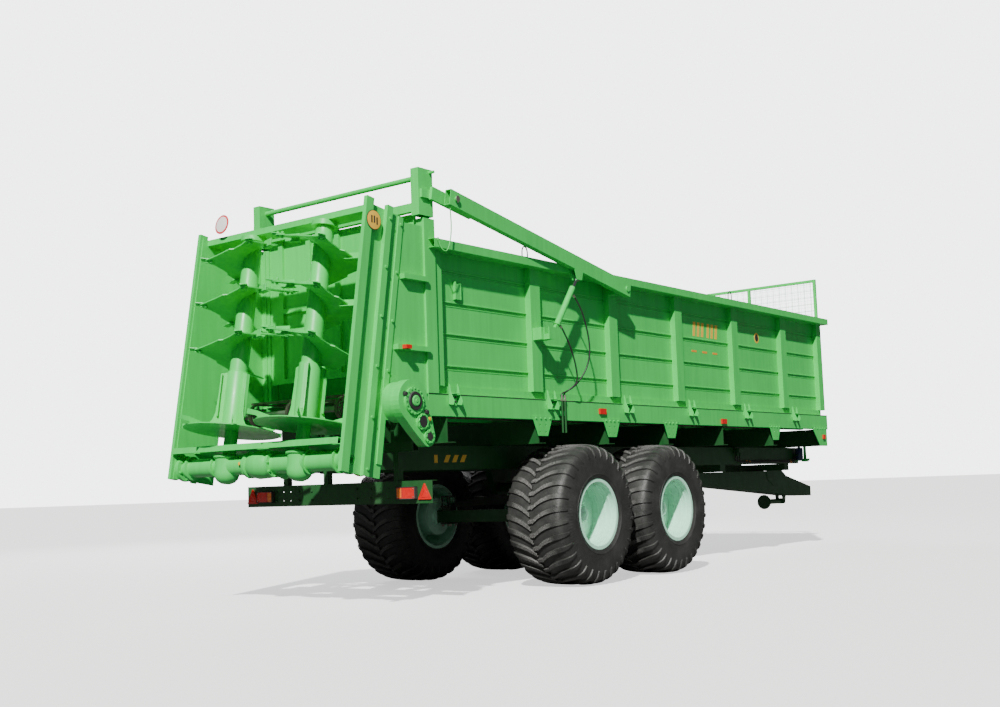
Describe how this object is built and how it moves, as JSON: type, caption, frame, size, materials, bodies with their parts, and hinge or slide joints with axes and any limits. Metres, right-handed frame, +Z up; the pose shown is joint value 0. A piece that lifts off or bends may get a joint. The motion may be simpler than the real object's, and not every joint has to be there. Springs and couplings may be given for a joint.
{
  "type": "tandem axle manure spreader trailer",
  "caption": "Long high-sided spreader trailer: rocking tandem bogie, moving floor, lifting rear gate with arms and cylinders, two upright beaters, cranked drawbar with jack.",
  "frame": {"origin": "on the ground, midway along the overall length and on the centre line", "axes": "+X forward to the towing eye, +Y to the left, +Z up"},
  "size_m": [11.8944, 2.904, 3.9599],
  "materials": {
    "body_green": "gloss enamel",
    "chassis_green": "satin enamel, dusty",
    "bare_steel": "worn",
    "black_rubber": "matte",
    "red_lens": "glossy lens",
    "tyre_rubber": "matte, dusty",
    "rim_mint": "satin"
  },
  "bodies": {
    "trailer": {"chassis_beams": "chassis_green", "cross_bearers": "chassis_green", "floor_beams": "body_green", "floor_deck": "bare_steel", "gusset_plates": "body_green", "side_walls": "body_green", "side_posts": "body_green", "top_rails": "body_green", "front_wall": "body_green", "front_guard": "body_green", "rear_posts": "body_green", "lift_brackets": "body_green", "hydraulic_pipes": "body_green", "left_hose_low": "black_rubber", "left_hose_high": "black_rubber", "right_hose_low": "black_rubber", "right_hose_high": "black_rubber", "frame_sides": "body_green", "frame_channels": "body_green", "frame_webs": "body_green", "frame_top_beam": "body_green", "rear_subframe": "chassis_green", "gear_tube": "chassis_green", "gearbox": "chassis_green", "side_reducer": "body_green", "idler_shaft": "bare_steel", "conveyor_chains": "bare_steel", "conveyor_slats": "bare_steel", "light_bar": "chassis_green", "lamps": "red_lens", "drawbar": "chassis_green", "towing_eye": "bare_steel", "bogie_hangers": "chassis_green"},
    "gate": {"gate_sheet": "body_green", "gate_head": "body_green", "gate_yokes": "body_green"},
    "left_arm": {"left_lift_arm": "body_green"},
    "right_arm": {"right_lift_arm": "body_green"},
    "left_barrel": {"left_ram_barrel": "body_green"},
    "right_barrel": {"right_ram_barrel": "body_green"},
    "left_rod": {"left_ram_rod": "bare_steel"},
    "right_rod": {"right_ram_rod": "bare_steel"},
    "left_beater": {"left_beater_tube": "body_green", "left_beater_flight": "body_green"},
    "right_beater": {"right_beater_tube": "body_green", "right_beater_flight": "body_green"},
    "conveyor_drive": {"drive_shaft": "bare_steel"},
    "driveline": {"line_shaft": "bare_steel"},
    "jack": {"jack_leg": "chassis_green"},
    "jack_inner": {"jack_foot": "chassis_green"},
    "bogie": {"axle_beams": "chassis_green", "leaf_springs": "chassis_green"},
    "left_rear_wheel": {"left_rear_rim": "rim_mint", "left_rear_tyre": "tyre_rubber"},
    "left_front_wheel": {"left_front_rim": "rim_mint", "left_front_tyre": "tyre_rubber"},
    "right_rear_wheel": {"right_rear_rim": "rim_mint", "right_rear_tyre": "tyre_rubber"},
    "right_front_wheel": {"right_front_rim": "rim_mint", "right_front_tyre": "tyre_rubber"}
  },
  "joints": [
    {"name": "gate_lift", "type": "slide", "parent": "trailer", "child": "gate", "axis": [0, 0, 1], "range_m": [0, 0.8]},
    {"name": "right_arm_swing", "type": "hinge", "parent": "trailer", "child": "right_arm", "pos_m": [-1.37783, -1.239, 3.16], "axis": [0, 1, 0], "range_deg": [0, 15.48]},
    {"name": "right_ram_tilt", "type": "hinge", "parent": "trailer", "child": "right_barrel", "pos_m": [-2.76383, -1.239, 2.588], "axis": [0, 1, 0], "range_deg": [-7.38, 0.1]},
    {"name": "right_ram_stroke", "type": "slide", "parent": "right_barrel", "child": "right_rod", "axis": [0.5989, 0, 0.8008], "range_m": [0, 0.2276]},
    {"name": "left_arm_swing", "type": "hinge", "parent": "trailer", "child": "left_arm", "pos_m": [-1.37783, 1.239, 3.16], "axis": [0, 1, 0], "range_deg": [0, 15.48]},
    {"name": "left_ram_tilt", "type": "hinge", "parent": "trailer", "child": "left_barrel", "pos_m": [-2.76383, 1.239, 2.588], "axis": [0, 1, 0], "range_deg": [-7.38, 0.1]},
    {"name": "left_ram_stroke", "type": "slide", "parent": "left_barrel", "child": "left_rod", "axis": [0.5989, 0, 0.8008], "range_m": [0, 0.2276]},
    {"name": "right_beater_spin", "type": "hinge", "parent": "trailer", "child": "right_beater", "pos_m": [-5.57383, -0.482, 1.25], "axis": [0.1633, 0, 0.9866], "continuous": true},
    {"name": "left_beater_spin", "type": "hinge", "parent": "trailer", "child": "left_beater", "pos_m": [-5.57383, 0.482, 1.25], "axis": [0.1633, 0, 0.9866], "continuous": true},
    {"name": "driveline_spin", "type": "hinge", "parent": "trailer", "child": "driveline", "pos_m": [-0.53783, 0, 1.335], "axis": [1, 0, 0], "continuous": true},
    {"name": "conveyor_spin", "type": "hinge", "parent": "trailer", "child": "conveyor_drive", "pos_m": [-4.86783, 0, 1.8025], "axis": [0, 1, 0], "continuous": true},
    {"name": "jack_swing", "type": "hinge", "parent": "trailer", "child": "jack", "pos_m": [4.91217, 0, 0.65], "axis": [0, -1, 0], "range_deg": [0, 90]},
    {"name": "jack_extend", "type": "slide", "parent": "jack", "child": "jack_inner", "axis": [-1, 0, 0], "range_m": [0, 0.068]},
    {"name": "bogie_rock", "type": "hinge", "parent": "trailer", "child": "bogie", "pos_m": [-1.57183, 0, 1.02], "axis": [0, 1, 0], "range_deg": [-4, 4]},
    {"name": "left_rear_wheel_spin", "type": "hinge", "parent": "bogie", "child": "left_rear_wheel", "pos_m": [-2.36383, 1.087, 0.72], "axis": [0, 1, 0], "continuous": true},
    {"name": "left_front_wheel_spin", "type": "hinge", "parent": "bogie", "child": "left_front_wheel", "pos_m": [-0.77983, 1.087, 0.72], "axis": [0, 1, 0], "continuous": true},
    {"name": "right_rear_wheel_spin", "type": "hinge", "parent": "bogie", "child": "right_rear_wheel", "pos_m": [-2.36383, -1.087, 0.72], "axis": [0, 1, 0], "continuous": true},
    {"name": "right_front_wheel_spin", "type": "hinge", "parent": "bogie", "child": "right_front_wheel", "pos_m": [-0.77983, -1.087, 0.72], "axis": [0, 1, 0], "continuous": true}
  ],
  "couplings": [
    {"joint": "right_arm_swing", "follows": "gate_lift", "rad_per_m": 0.33552},
    {"joint": "right_ram_tilt", "follows": "gate_lift", "rad_per_m": -0.15887},
    {"joint": "right_ram_stroke", "follows": "gate_lift", "ratio": 0.28196},
    {"joint": "left_arm_swing", "follows": "gate_lift", "rad_per_m": 0.33552},
    {"joint": "left_ram_tilt", "follows": "gate_lift", "rad_per_m": -0.15887},
    {"joint": "left_ram_stroke", "follows": "gate_lift", "ratio": 0.28196},
    {"joint": "left_beater_spin", "follows": "right_beater_spin", "ratio": -1},
    {"joint": "driveline_spin", "follows": "right_beater_spin", "ratio": 2.5}
  ]
}
